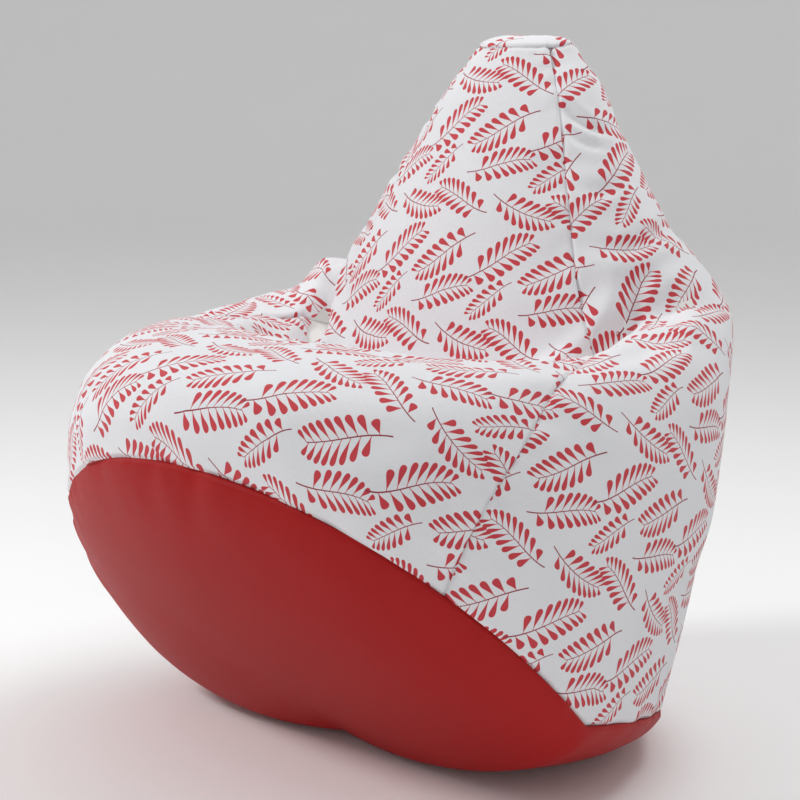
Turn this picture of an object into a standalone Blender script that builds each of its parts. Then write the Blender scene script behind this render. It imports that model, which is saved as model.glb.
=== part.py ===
"""A pear-shaped bean bag chair: a printed outer cover with a red base, a plain liner inside it, and a fill of beads.

Metres, +Z up, the seat facing -Y. The bag leans back as it does with nobody in it, on a flat patch at z = 0.
"""

import math

import bpy
import numpy as np

MM = 0.001

# Overall sizes of the bag as it stands.
WIDTH = 0.930
DEPTH = 0.940
HEIGHT = 1.005

# The stations below are given for a bag of this size, and stretch with the three sizes above.
STATION_WIDTH = 0.930
STATION_DEPTH = 0.940
STATION_HEIGHT = 1.005

# Cloth, and the room between one layer and the next.
COVER_CLOTH = 0.8 * MM
LINER_CLOTH = 0.6 * MM
LINER_DEPTH = 4.0 * MM
FILL_DEPTH = 8.0 * MM
SEAM_GAP = 0.5 * MM

# The zips in the centre back seams. Depths are measured inwards from the face of the cloth.
ZIP_FOOT = 0.075
COVER_ZIP_LENGTH = 0.390
LINER_ZIP_LENGTH = 0.350
CHAIN_WIDTH = 8.0 * MM
CHAIN_THICK = 2.4 * MM
CHAIN_SPLIT = 1.4 * MM
TAPE_WIDTH = 13.0 * MM
TAPE_THICK = 0.6 * MM
SLIDER_LENGTH = 18.0 * MM
SLIDER_PLATE = 1.5 * MM
SLIDER_POST = 0.8 * MM
SLIDER_REST_GAP = 1.0 * MM
STOP_LENGTH = 3.5 * MM
PULL_LENGTH = 32.0 * MM
PULL_WIDTH = 9.0 * MM
PULL_THICK = 1.4 * MM
FIT = 0.3 * MM
SLIDER_FIT = 0.6 * MM
ZIP_RECESS = 9.0 * MM
RECESS_REACH = 0.070

# The centre back runs in a straight line, y = BACK_FOOT + BACK_LEAN * z, as far up as the shoulders.
BACK_FOOT = 0.3421
BACK_LEAN = 0.20
BACK_RADIUS = 0.36


def on_back(z):
    return (BACK_FOOT + BACK_LEAN * z, z)


# Each station is one turn around the bag: its front, side and back as (y, z), its half width,
# the angles of the front and back seams, and how far the shoulder is pushed out.
STATIONS = (
    ("rim", (-0.4619, 0.468), (-0.1429, 0.132), on_back(0.020), 0.450, 54, 134, 0.000),
    ("low", (-0.4679, 0.538), (-0.0859, 0.272), on_back(0.120), 0.456, 57, 134, 0.000),
    ("belly", (-0.4119, 0.590), (-0.0129, 0.440), on_back(0.280), 0.461, 60, 134, 0.004),
    ("seat", (-0.2979, 0.600), (0.0721, 0.560), on_back(0.440), 0.432, 60, 134, 0.014),
    ("shelf", (-0.1229, 0.564), (0.1721, 0.608), on_back(0.560), 0.378, 58, 133, 0.026),
    ("crease", (-0.0029, 0.530), (0.2291, 0.642), on_back(0.650), 0.315, 56, 132, 0.018),
    ("neck_foot", (0.0491, 0.630), (0.2271, 0.722), (0.4291, 0.740), 0.260, 55, 130, 0.002),
    ("neck_middle", (0.1091, 0.790), (0.2451, 0.828), (0.3851, 0.830), 0.196, 55, 130, 0.000),
    ("neck_upper", (0.1691, 0.918), (0.2641, 0.933), (0.3481, 0.930), 0.134, 55, 130, 0.000),
    ("top", (0.2121, 0.989), (0.2751, 0.994), (0.3261, 0.978), 0.086, 55, 130, 0.000),
)
SHOULDER_AT = math.radians(128)
SHOULDER_REACH = math.radians(50)

# The base bulges below its rim by this much, and the floor flattens what reaches it.
BASE_BULGE = np.array((0.0, -0.040, -0.185))
BASE_ROUND = (1.15, 1.30)
FLOOR_BLEND = 0.010
CAP_BULGE = np.array((0.0, 0.0, 0.016))

ROWS = 21
BASE_ROWS = 8
CAP_ROWS = 3
FRONT_COLUMNS = 6
SIDE_COLUMNS = 8
BACK_SHARES = (0.22, 0.44, 0.64, 0.80, 0.91, 1.0)
NEAREST_ROWS = 0.016

PRINT_PINK = (0.80, 0.42, 0.43)
BASE_RED = (0.42, 0.02, 0.02)
LINER_WHITE = (0.86, 0.86, 0.84)
BEAD_WHITE = (0.93, 0.93, 0.91)
TAPE_WHITE = (0.78, 0.76, 0.75)
NYLON_WHITE = (0.70, 0.68, 0.67)
NICKEL = (0.62, 0.61, 0.58)


# Curves and the surface of the bag ----------------------------------------------------------------------


def scale_factors():
    return np.array((WIDTH / STATION_WIDTH, DEPTH / STATION_DEPTH, HEIGHT / STATION_HEIGHT))


def spline(knots, values, at):
    """A smooth curve through the values, straight wherever four of them in a row lie on a line."""
    knots, values, at = np.asarray(knots), np.asarray(values, float), np.asarray(at)
    slopes = np.empty_like(values)
    slopes[1:-1] = (values[2:] - values[:-2]) / stretch(knots[2:] - knots[:-2], values)
    slopes[0] = (values[1] - values[0]) / (knots[1] - knots[0])
    slopes[-1] = (values[-1] - values[-2]) / (knots[-1] - knots[-2])
    cell = np.clip(np.searchsorted(knots, at, side="right") - 1, 0, len(knots) - 2)
    span = knots[cell + 1] - knots[cell]
    share = stretch((at - knots[cell]) / span, values)
    span = stretch(span, values)
    before, after = 2 * share**3 - 3 * share**2 + 1, 3 * share**2 - 2 * share**3
    leave, arrive = share**3 - 2 * share**2 + share, share**3 - share**2
    return (
        before * values[cell]
        + after * values[cell + 1]
        + leave * span * slopes[cell]
        + arrive * span * slopes[cell + 1]
    )


def stretch(factors, values):
    """The factors with as many trailing axes as the values have, so that the two multiply."""
    return factors.reshape(factors.shape + (1,) * (values.ndim - 1))


def station_middle_line():
    """The distance from the rim to each station, as a share of the whole way up."""
    middles = np.array([(np.array(s[1]) + s[2] + s[3]) / 3 for s in STATIONS])
    steps = np.linalg.norm(np.diff(middles, axis=0), axis=1)
    distance = np.concatenate(([0.0], np.cumsum(steps)))
    return distance / distance[-1]


class Sections:
    """The turns around the bag at the given heights, each height a share of the way from the rim to the top."""

    def __init__(self, heights):
        knots = station_middle_line()
        self.front = spline(knots, [s[1] for s in STATIONS], heights)
        self.side = spline(knots, [s[2] for s in STATIONS], heights)
        self.back = spline(knots, [s[3] for s in STATIONS], heights)
        self.half_width = spline(knots, [s[4] for s in STATIONS], heights)
        self.front_seam = np.radians(spline(knots, [s[5] for s in STATIONS], heights))
        self.back_seam = np.radians(spline(knots, [s[6] for s in STATIONS], heights))
        self.shoulder = spline(knots, [s[7] for s in STATIONS], heights)

    def points(self, angles):
        """Points at these angles, one row of angles a height: 0 is the front, half a turn the back."""
        forward = np.cos(angles)[..., None]
        ahead = (self.front - self.side)[:, None]
        behind = (self.side - self.back)[:, None]
        yz = self.side[:, None] + np.where(forward > 0, ahead, behind) * forward
        x = self.half_width[:, None] * np.sin(angles)
        near = np.clip(np.abs(np.abs(angles) - SHOULDER_AT) / SHOULDER_REACH, 0, 1)
        push = self.shoulder[:, None] * np.cos(near * math.pi / 2) ** 2
        x = x + push * np.sign(angles)
        yz = yz + push[..., None] * np.array((0.0, 0.6))
        return np.concatenate([x[..., None], yz], axis=-1) * scale_factors()


def zip_frame():
    """The foot of the zips on the back line, the way up along it, and the way out of the bag."""
    scale = scale_factors()
    foot = np.array((0.0, *on_back(ZIP_FOOT))) * scale
    up = np.array((0.0, BACK_LEAN, 1.0)) * scale
    up /= np.linalg.norm(up)
    return foot, up, np.array((0.0, up[2], -up[1]))


def row_heights():
    """Even rows from the rim to the top, with rows of their own where the ends of the zip slot are."""
    fine = np.linspace(0, 1, 400)
    foot, up, _ = zip_frame()
    back = Sections(fine).points(np.full((400, 1), math.pi))[:, 0]
    along = (back - foot) @ up
    ends = [np.interp(at, along, fine) for at in slot_ends()]
    even = np.linspace(0, 1, ROWS)
    clear = [h for h in even if min(abs(h - end) for end in ends) > NEAREST_ROWS]
    return np.array(sorted(clear + ends)), along_at(fine, along)


def along_at(heights, along):
    """A function from a height to the distance along the zip line at the centre back."""
    return lambda at: np.interp(at, heights, along)


def slot_ends():
    reach = STOP_LENGTH + 4 * MM
    closing = 12 * MM
    return (-reach - closing, -reach, COVER_ZIP_LENGTH + reach, COVER_ZIP_LENGTH + reach + closing)


def slot_half_width(along):
    """Half the gap between the cover's back panels: open beside the zip, a plain seam elsewhere."""
    open_half = CHAIN_WIDTH / 2 + SLIDER_FIT + SLIDER_PLATE + 2 * FIT
    return np.interp(along, slot_ends(), (SEAM_GAP / 2, open_half, open_half, SEAM_GAP / 2))


# The one surface that every layer follows ---------------------------------------------------------------


class Skin:
    """The closed outer surface of the bag as one grid, with the way out at each of its points."""

    def __init__(self):
        heights, along = row_heights()
        sections = Sections(heights)
        self.along = along(heights)
        half = self.half_turn(sections)
        self.half_columns = half.shape[1]
        angles = np.concatenate([-half[:, :0:-1], half], axis=1)
        self.body = settle(sections.points(angles))
        self.base = settle(self.closing(self.body[0], BASE_BULGE * scale_factors(), BASE_ROWS, BASE_ROUND))
        self.cap = self.closing(self.body[-1], CAP_BULGE, CAP_ROWS)
        self.find_normals()
        self.find_splits()

    def half_turn(self, sections):
        """The angles from the front centre round to the centre back, on one side."""
        front = sections.front_seam[:, None] * np.linspace(0, 1, FRONT_COLUMNS + 1)
        sides = np.linspace(0, 1, SIDE_COLUMNS + 1)[1:]
        side = blend(sections.front_seam[:, None], sections.back_seam[:, None], sides)
        slot = slot_half_width(self.along) / (sections.half_width * scale_factors()[0])
        edge = math.pi - np.arcsin(slot)
        back = blend(sections.back_seam[:, None], edge[:, None], np.array(BACK_SHARES))
        return np.concatenate([front, side, back], axis=1)

    def closing(self, ring, bulge, rows, powers=(1.0, 1.0)):
        """The rows from a ring to the middle of the disc that closes it, without the ring itself.

        Powers of one make an ellipse; larger ones flatten the disc towards its edge."""
        middle = ring.mean(axis=0)
        turns = np.linspace(0, math.pi / 2, rows + 1)[1:-1]
        steps = zip(np.cos(turns) ** powers[0], np.sin(turns) ** powers[1])
        turned = [middle + (ring - middle) * inwards + bulge * down for inwards, down in steps]
        tip = np.repeat((middle + bulge)[None], len(ring), axis=0)
        return np.array([*turned, tip])

    def find_normals(self):
        """Area-weighted ways out, shared by all the faces that meet at a point."""
        grid = np.concatenate([self.base[::-1], self.body, self.cap])
        rows, columns = grid.shape[:2]
        total = np.zeros_like(grid)
        for row in range(rows - 1):
            here, there = grid[row], grid[row + 1]
            after = np.roll(here, -1, axis=0)
            beyond = np.roll(there, -1, axis=0)
            out = np.cross(beyond - here, there - after)
            for place in (total[row], total[row + 1]):
                place += out
                place += np.roll(out, 1, axis=0)
        for pole in (0, rows - 1):
            total[pole] = total[pole].sum(axis=0)
        # The two columns beside the centre back keep to their own side however deep a layer lies.
        total[:, (0, -1), 0] = 0.0
        total /= np.linalg.norm(total, axis=2)[..., None]
        bases, bodies = len(self.base), len(self.body)
        self.base_out = total[:bases][::-1]
        self.body_out = total[bases : bases + bodies]
        self.cap_out = total[bases + bodies :]

    def find_splits(self):
        """Which way each four-cornered cell divides, the same in every layer so that none cuts another."""
        self.body_split = shorter_first(self.body)
        self.base_split = shorter_first(np.concatenate([self.body[:1], self.base]))
        self.cap_split = shorter_first(np.concatenate([self.body[-1:], self.cap]))


def shorter_first(grid):
    """True where a cell's shorter diagonal runs from its first corner. Cells run all the way round."""
    after = np.roll(grid, -1, axis=1)
    first = np.linalg.norm(after[1:] - grid[:-1], axis=2)
    second = np.linalg.norm(grid[1:] - after[:-1], axis=2)
    return first <= second


def blend(start, end, shares):
    return start + (end - start) * shares


def settle(points):
    """The points with whatever hangs below the floor pressed flat on it."""
    z = points[..., 2]
    rounded = (z + FLOOR_BLEND) ** 2 / (4 * FLOOR_BLEND)
    pressed = np.where(z <= -FLOOR_BLEND, 0.0, np.where(z < FLOOR_BLEND, rounded, z))
    return np.concatenate([points[..., :2], pressed[..., None]], axis=-1)


def recess(points, outs, along, length):
    """How much deeper an inner layer runs behind a zip than elsewhere, as a share."""
    side = np.clip(np.abs(points[..., 0]) / RECESS_REACH, 0, 1)
    past = np.maximum(-along, along - length)
    ends = np.clip(past / RECESS_REACH, 0, 1)
    faces_back = outs[..., 1] > 0.5
    return np.cos(side * math.pi / 2) ** 2 * np.cos(ends * math.pi / 2) ** 2 * faces_back


class Layer:
    """The skin sunk inwards by a depth, and by more behind the zips."""

    def __init__(self, skin, depth, zip_depth=0.0):
        self.depth = depth
        self.zip_depth = zip_depth
        self.body = self.sunk(skin.body, skin.body_out)
        self.base = self.sunk(skin.base, skin.base_out)
        self.cap = self.sunk(skin.cap, skin.cap_out)

    def sunk(self, points, outs):
        foot, up, _ = zip_frame()
        share = recess(points, outs, (points - foot) @ up, COVER_ZIP_LENGTH)
        return points - outs * (self.depth + self.zip_depth * share)[..., None]


# Meshes -------------------------------------------------------------------------------------------------


def new_collection(name):
    collection = bpy.data.collections.new(name)
    bpy.context.scene.collection.children.link(collection)
    return collection


def material(name, colour, roughness, metallic=0.0):
    made = bpy.data.materials.new(name)
    made.use_nodes = True
    shader = made.node_tree.nodes["Principled BSDF"]
    shader.inputs["Base Color"].default_value = (*colour, 1.0)
    shader.inputs["Roughness"].default_value = roughness
    shader.inputs["Metallic"].default_value = metallic
    return made


def new_object(name, points, faces, surface, collection):
    mesh = bpy.data.meshes.new(name)
    mesh.from_pydata([tuple(map(float, p)) for p in points], [], faces)
    mesh.materials.append(surface)
    made = bpy.data.objects.new(name, mesh)
    collection.objects.link(made)
    return made


def inset_edges(outer, inner, sides):
    """Draws the named edges of both faces of a panel in by half the seam gap."""
    for grid in (outer, inner):
        start = grid.copy()
        for side in sides:
            edge, beside = EDGES[side]
            way = start[beside] - start[edge]
            grid[edge] += way / np.linalg.norm(way, axis=-1)[..., None] * SEAM_GAP / 2


EDGES = {
    "bottom": ((0, slice(None)), (1, slice(None))),
    "top": ((-1, slice(None)), (-2, slice(None))),
    "left": ((slice(None), 0), (slice(None), 1)),
    "right": ((slice(None), -1), (slice(None), -2)),
}


def halves(a, b, c, d, from_first, flip):
    """The two triangles of a cell, whose corners are given once round."""
    pair = [(a, b, c), (a, c, d)] if from_first else [(a, b, d), (b, c, d)]
    return [face[::-1] for face in pair] if flip else pair


def grid_faces(split, start=0, flip=False):
    rows, cells = split.shape
    columns = cells + 1
    faces = []
    for row in range(rows):
        for cell in range(cells):
            a = start + row * columns + cell
            faces += halves(a, a + 1, a + columns + 1, a + columns, split[row, cell], flip)
    return faces


def border(rows, columns):
    """The places around a grid in order, once round."""
    bottom = [(0, c) for c in range(columns - 1)]
    right = [(r, columns - 1) for r in range(rows - 1)]
    top = [(rows - 1, c) for c in range(columns - 1, 0, -1)]
    left = [(r, 0) for r in range(rows - 1, 0, -1)]
    return [r * columns + c for r, c in bottom + right + top + left]


def panel(name, outer, inner, split, sides, surface, collection):
    """A piece of cloth between two faces, drawn in along its seams."""
    outer, inner = outer.copy(), inner.copy()
    inset_edges(outer, inner, sides)
    rows, columns = outer.shape[:2]
    count = rows * columns
    faces = grid_faces(split) + grid_faces(split, count, flip=True)
    around = border(rows, columns)
    for here, there in zip(around, around[1:] + around[:1]):
        faces.append((here, here + count, there + count, there))
    points = np.concatenate([outer.reshape(-1, 3), inner.reshape(-1, 3)])
    return new_object(name, points, faces, surface, collection)


def ring_faces(split, start, flip):
    """Faces between rings that run all the way round."""
    rows, columns = split.shape
    faces = []
    for row in range(rows):
        for column in range(columns):
            a = start + row * columns + column
            b = start + row * columns + (column + 1) % columns
            faces += halves(a, b, b + columns, a + columns, split[row, column], flip)
    return faces


def fan_faces(split, start, flip):
    """Faces of rings that close on one point, which follows them."""
    rings, columns = split.shape[0] + 1, split.shape[1]
    faces = ring_faces(split, start, flip)
    tip = start + rings * columns
    last = start + (rings - 1) * columns
    for column in range(columns):
        face = (last + column, last + (column + 1) % columns, tip)
        faces.append(face[::-1] if flip else face)
    return faces


def disc(name, outer_rows, inner_rows, split, downwards, surface, collection):
    """A round piece of cloth from its ring to its middle, drawn in along its seam."""
    outer, inner = rings_of(*outer_rows), rings_of(*inner_rows)
    columns = split.shape[1]
    count = len(outer)
    faces = fan_faces(split[:-1], 0, flip=downwards)
    faces += fan_faces(split[:-1], count, flip=not downwards)
    for here in range(columns):
        there = (here + 1) % columns
        face = (here, here + count, there + count, there)
        faces.append(face[::-1] if downwards else face)
    points = np.concatenate([outer, inner])
    return new_object(name, points, faces, surface, collection)


def rings_of(ring, rows):
    way = rows[0] - ring
    drawn = ring + way / np.linalg.norm(way, axis=-1)[..., None] * SEAM_GAP / 2
    return np.concatenate([drawn, rows[:-1].reshape(-1, 3), rows[-1][:1]])


def sheath(prefix, outer, inner, skin, looks, collection):
    """The gores, cap and base of one bag: the cover, or the liner inside it."""
    gore_look, base_look = looks
    centre = skin.half_columns - 1
    f, s, b = FRONT_COLUMNS, FRONT_COLUMNS + SIDE_COLUMNS, skin.half_columns - 1
    spans = {
        "front_panel": (centre - f, centre + f, ("left", "right")),
        "right_side_panel": (centre + f, centre + s, ("left", "right")),
        "left_side_panel": (centre - s, centre - f, ("left", "right")),
        "right_back_panel": (centre + s, centre + b, ("left",)),
        "left_back_panel": (centre - b, centre - s, ("right",)),
    }
    for name, (first, last, seams) in spans.items():
        part = slice(first, last + 1)
        edges = ("bottom", "top", *seams)
        faces = outer.body[:, part], inner.body[:, part]
        panel(prefix + name, *faces, skin.body_split[:, first:last], edges, gore_look, collection)
    rows = (outer.body[0], outer.base), (inner.body[0], inner.base)
    disc(prefix + "base_panel", *rows, skin.base_split, True, base_look, collection)
    rows = (outer.body[-1], outer.cap), (inner.body[-1], inner.cap)
    disc(prefix + "top_cap", *rows, skin.cap_split, False, gore_look, collection)


def filling(name, layer, skin, surface, collection):
    """A solid that fills a layer from its base to its cap."""
    rows, columns = layer.body.shape[:2]
    body = layer.body.reshape(-1, 3)
    base = np.concatenate([layer.base[:-1].reshape(-1, 3), layer.base[-1][:1]])
    cap = np.concatenate([layer.cap[:-1].reshape(-1, 3), layer.cap[-1][:1]])
    points = np.concatenate([body, base, cap])
    faces = ring_faces(skin.body_split, 0, flip=False)
    base_at, cap_at = len(body), len(body) + len(base)
    last = (rows - 1) * columns
    for here in range(columns):
        there = (here + 1) % columns
        corners = (here, there, base_at + there, base_at + here)
        faces += halves(*corners, skin.base_split[0, here], flip=True)
        corners = (last + here, last + there, cap_at + there, cap_at + here)
        faces += halves(*corners, skin.cap_split[0, here], flip=False)
    faces += fan_faces(skin.base_split[1:-1], base_at, flip=True)
    faces += fan_faces(skin.cap_split[1:-1], cap_at, flip=False)
    return new_object(name, points, faces, surface, collection)


# The zips -----------------------------------------------------------------------------------------------


class ZipLine:
    """Places on a zip: across it, in from the face of the cloth, and along it."""

    def __init__(self, face_depth, length, foot_along):
        self.foot, self.up, self.out = zip_frame()
        self.foot = self.foot + self.up * foot_along
        self.face_depth = face_depth
        self.length = length

    def point(self, across, depth, along):
        side = np.array((across, 0.0, 0.0))
        return self.foot + side - self.out * (self.face_depth + depth) + self.up * along

    def bar(self, name, outline, start, end, surface, collection):
        """An outline of (across, depth) places, run along the zip."""
        count = len(outline)
        points = [self.point(x, d, start) for x, d in outline]
        points += [self.point(x, d, end) for x, d in outline]
        faces = [tuple(range(count))[::-1], tuple(range(count, 2 * count))]
        for here in range(count):
            there = (here + 1) % count
            faces.append((here, there, there + count, here + count))
        made = new_object(name, points, faces, surface, collection)
        face_outwards(made)
        return made


def face_outwards(made):
    bpy.context.view_layer.objects.active = made
    made.select_set(True)
    bpy.ops.object.mode_set(mode="EDIT")
    bpy.ops.mesh.select_all(action="SELECT")
    bpy.ops.mesh.normals_make_consistent(inside=False)
    bpy.ops.object.mode_set(mode="OBJECT")
    made.select_set(False)


def rectangle(left, right, near, far):
    return ((left, near), (right, near), (right, far), (left, far))


def tape_outline(sign):
    """The tape follows the curve of the back as it goes out under the cloth."""
    near = COVER_CLOTH + FIT
    first = CHAIN_WIDTH / 2 + FIT
    last = first + TAPE_WIDTH
    curve = 2 * BACK_RADIUS * WIDTH / STATION_WIDTH
    outline = []
    for across in (first, (first + last) / 2, last):
        outline.append((sign * across, near + across**2 / curve))
    for across in (last, (first + last) / 2, first):
        outline.append((sign * across, near + TAPE_THICK + across**2 / curve))
    return outline


def chain_depths():
    middle = COVER_CLOTH + FIT + TAPE_THICK / 2
    return middle - CHAIN_THICK / 2, middle + CHAIN_THICK / 2


def union(target, others):
    for number, other in enumerate(others):
        modifier = target.modifiers.new(f"join_{number}", "BOOLEAN")
        modifier.operation = "UNION"
        modifier.solver = "EXACT"
        modifier.object = other
        other.hide_render = True
        other.display_type = "WIRE"


def slider_outline(outward):
    """Half of the slider's section: a plate with a lip down each side, which leaves room for the tapes."""
    near, far = chain_depths()
    half = CHAIN_WIDTH / 2 + SLIDER_FIT
    wide = half + SLIDER_PLATE
    tape_near, tape_far = COVER_CLOTH + FIT, COVER_CLOTH + FIT + TAPE_THICK
    if outward:
        plate, top, lip = near - SLIDER_FIT, near - SLIDER_FIT - SLIDER_PLATE, tape_near - SLIDER_FIT
    else:
        plate, top, lip = far + SLIDER_FIT, far + SLIDER_FIT + SLIDER_PLATE, tape_far + SLIDER_FIT
    return ((-wide, top), (wide, top), (wide, lip), (half, lip), (half, plate),
            (-half, plate), (-half, lip), (-wide, lip))


def slider(name, line, surface, collection, helpers, with_bail):
    near, far = chain_depths()
    end = line.length - SLIDER_REST_GAP
    start = end - SLIDER_LENGTH
    made = line.bar(name, slider_outline(True), start, end, surface, collection)
    inner = line.bar(name + "_inner", slider_outline(False), start, end, surface, helpers)
    post_faces = rectangle(
        -SLIDER_POST / 2, SLIDER_POST / 2,
        near - SLIDER_FIT - SLIDER_PLATE / 2, far + SLIDER_FIT + SLIDER_PLATE / 2,
    )
    post = line.bar(name + "_post", post_faces, end - 4 * MM, end - 1 * MM, surface, helpers)
    union(made, [inner, post] + (bail(name, line, surface, helpers) if with_bail else []))
    return made


def bail_sizes():
    """The pull's pivot: how far out it lies, how far along, and the bail's opening around it."""
    near, _ = chain_depths()
    plate = near - SLIDER_FIT - SLIDER_PLATE
    end = COVER_ZIP_LENGTH - SLIDER_REST_GAP
    radius = PULL_THICK / 2
    return {
        "plate": plate,
        "pivot": plate - radius - 0.5 * MM,
        "middle": end - SLIDER_LENGTH / 2,
        "half_long": radius + 0.8 * MM,
        "wall": 1.2 * MM,
        "half_wide": 1.2 * MM,
        "top": plate - PULL_THICK - 1.0 * MM,
    }


def bail(name, line, surface, helpers):
    sizes = bail_sizes()
    low, high = sizes["middle"] - sizes["half_long"], sizes["middle"] + sizes["half_long"]
    wall, half, plate, top = sizes["wall"], sizes["half_wide"], sizes["plate"], sizes["top"]
    foot = rectangle(-half, half, top - wall / 2, plate + SLIDER_PLATE / 2)
    bridge = rectangle(-half, half, top - wall, top)
    return [
        line.bar(name + "_bail_low", foot, low - wall, low, surface, helpers),
        line.bar(name + "_bail_high", foot, high, high + wall, surface, helpers),
        line.bar(name + "_bail_bridge", bridge, low - wall, high + wall, surface, helpers),
    ]


def box(name, middle, size, surface, collection):
    bpy.ops.mesh.primitive_cube_add(size=1, location=middle)
    made = bpy.context.object
    made.name = name
    made.data.name = name
    made.scale = size
    bpy.ops.object.transform_apply(location=False, rotation=False, scale=True)
    for old in made.users_collection:
        old.objects.unlink(made)
    collection.objects.link(made)
    made.data.materials.append(surface)
    return made


def zip_pull(line, surface, collection, helpers):
    """The tab that hangs straight down from the slider's bail, its top bar inside the bail."""
    sizes = bail_sizes()
    pivot = line.point(0, sizes["pivot"], sizes["middle"])
    eye_half = sizes["half_wide"] + 0.7 * MM
    eye_long = sizes["half_long"] + sizes["wall"] + 3.0 * MM
    top = pivot[2] + PULL_THICK / 2
    middle = (0.0, pivot[1], top - PULL_LENGTH / 2)
    made = box("zip_pull", middle, (PULL_WIDTH, PULL_THICK, PULL_LENGTH), surface, collection)
    eye_middle = (0.0, pivot[1], pivot[2] - PULL_THICK / 2 - eye_long / 2)
    eye = box("zip_pull_eye", eye_middle, (2 * eye_half, 4 * PULL_THICK, eye_long), surface, helpers)
    cut = made.modifiers.new("eye", "BOOLEAN")
    cut.operation = "DIFFERENCE"
    cut.solver = "EXACT"
    cut.object = eye
    eye.hide_render = True
    eye.display_type = "WIRE"
    rounding = made.modifiers.new("edges", "BEVEL")
    rounding.width = 0.3 * MM
    rounding.segments = 1
    return made


def zip_set(prefix, line, looks, collection, helpers, with_pull):
    tape, nylon, metal = looks
    near, far = chain_depths()
    beyond = 20 * MM
    for side, sign in (("left", -1), ("right", 1)):
        line.bar(f"{prefix}zip_tape_{side}", tape_outline(sign), -beyond, line.length + beyond, tape, collection)
        inside, outside = sorted((sign * CHAIN_SPLIT / 2, sign * CHAIN_WIDTH / 2))
        outline = rectangle(inside, outside, near, far)
        line.bar(f"{prefix}zip_chain_{side}", outline, 0.0, line.length, nylon, collection)
        stop_from, stop_to = line.length + FIT, line.length + FIT + STOP_LENGTH
        line.bar(f"{prefix}zip_top_stop_{side}", outline, stop_from, stop_to, metal, collection)
    block = rectangle(-CHAIN_WIDTH / 2, CHAIN_WIDTH / 2, near, far)
    line.bar(f"{prefix}zip_bottom_stop", block, -FIT - STOP_LENGTH, -FIT, metal, collection)
    slider(f"{prefix}zip_slider", line, metal, collection, helpers, with_pull)
    if with_pull:
        zip_pull(line, metal, collection, helpers)


# The chair ----------------------------------------------------------------------------------------------


def clear_scene():
    for old in list(bpy.data.objects):
        bpy.data.objects.remove(old)


def main():
    clear_scene()
    chair = new_collection("bean_bag_chair")
    helpers = new_collection("helpers")
    helpers.hide_render = True
    printed = material("printed_cloth", PRINT_PINK, 0.85)
    red = material("red_cloth", BASE_RED, 0.45)
    liner_look = material("liner_cloth", LINER_WHITE, 0.8)
    beads = material("beads", BEAD_WHITE, 0.9)
    zip_looks = (
        material("zip_tape", TAPE_WHITE, 0.8),
        material("zip_nylon", NYLON_WHITE, 0.4),
        material("zip_metal", NICKEL, 0.3, metallic=1.0),
    )
    skin = Skin()
    liner_zip_depth = ZIP_RECESS
    fill_zip_depth = 2 * ZIP_RECESS - 2 * MM
    cover_face = Layer(skin, 0.0)
    cover_back = Layer(skin, COVER_CLOTH)
    liner_face = Layer(skin, LINER_DEPTH, liner_zip_depth)
    liner_back = Layer(skin, LINER_DEPTH + LINER_CLOTH, liner_zip_depth)
    fill_face = Layer(skin, FILL_DEPTH, fill_zip_depth)
    sheath("cover_", cover_face, cover_back, skin, (printed, red), chair)
    sheath("liner_", liner_face, liner_back, skin, (liner_look, liner_look), chair)
    filling("bead_fill", fill_face, skin, beads, chair)
    cover_line = ZipLine(0.0, COVER_ZIP_LENGTH, 0.0)
    shorter = (COVER_ZIP_LENGTH - LINER_ZIP_LENGTH) / 2
    liner_line = ZipLine(LINER_DEPTH + liner_zip_depth, LINER_ZIP_LENGTH, shorter)
    zip_set("", cover_line, zip_looks, chair, helpers, True)
    zip_set("liner_", liner_line, zip_looks, chair, helpers, False)


main()
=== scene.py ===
"""The looks of the bean bag chair: fine cloth panels with seams, puckers and print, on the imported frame.

Metres, +Z up, the seat facing -Y. The stations and the surface they make are the CAD model's own, on a
finer grid.
"""

import math

import bpy
import numpy as np
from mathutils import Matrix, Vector


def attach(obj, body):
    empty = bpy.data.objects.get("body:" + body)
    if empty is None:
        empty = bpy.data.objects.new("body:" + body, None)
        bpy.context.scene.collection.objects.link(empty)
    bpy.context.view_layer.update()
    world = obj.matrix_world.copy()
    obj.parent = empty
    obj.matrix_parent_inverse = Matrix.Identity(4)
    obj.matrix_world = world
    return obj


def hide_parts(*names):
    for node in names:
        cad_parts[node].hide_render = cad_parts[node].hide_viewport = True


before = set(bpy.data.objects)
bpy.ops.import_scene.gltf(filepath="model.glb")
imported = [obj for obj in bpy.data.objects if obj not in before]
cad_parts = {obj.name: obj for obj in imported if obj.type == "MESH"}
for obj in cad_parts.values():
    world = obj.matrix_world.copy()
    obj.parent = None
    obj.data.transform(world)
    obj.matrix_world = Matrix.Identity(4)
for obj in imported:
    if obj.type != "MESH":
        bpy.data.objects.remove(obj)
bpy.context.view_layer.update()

MM = 0.001
BAG = "bag"

# The bag's surface, as in the CAD model: see Sections.
BACK_FOOT = 0.3421
BACK_LEAN = 0.20


def on_back(z):
    return (BACK_FOOT + BACK_LEAN * z, z)


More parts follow.
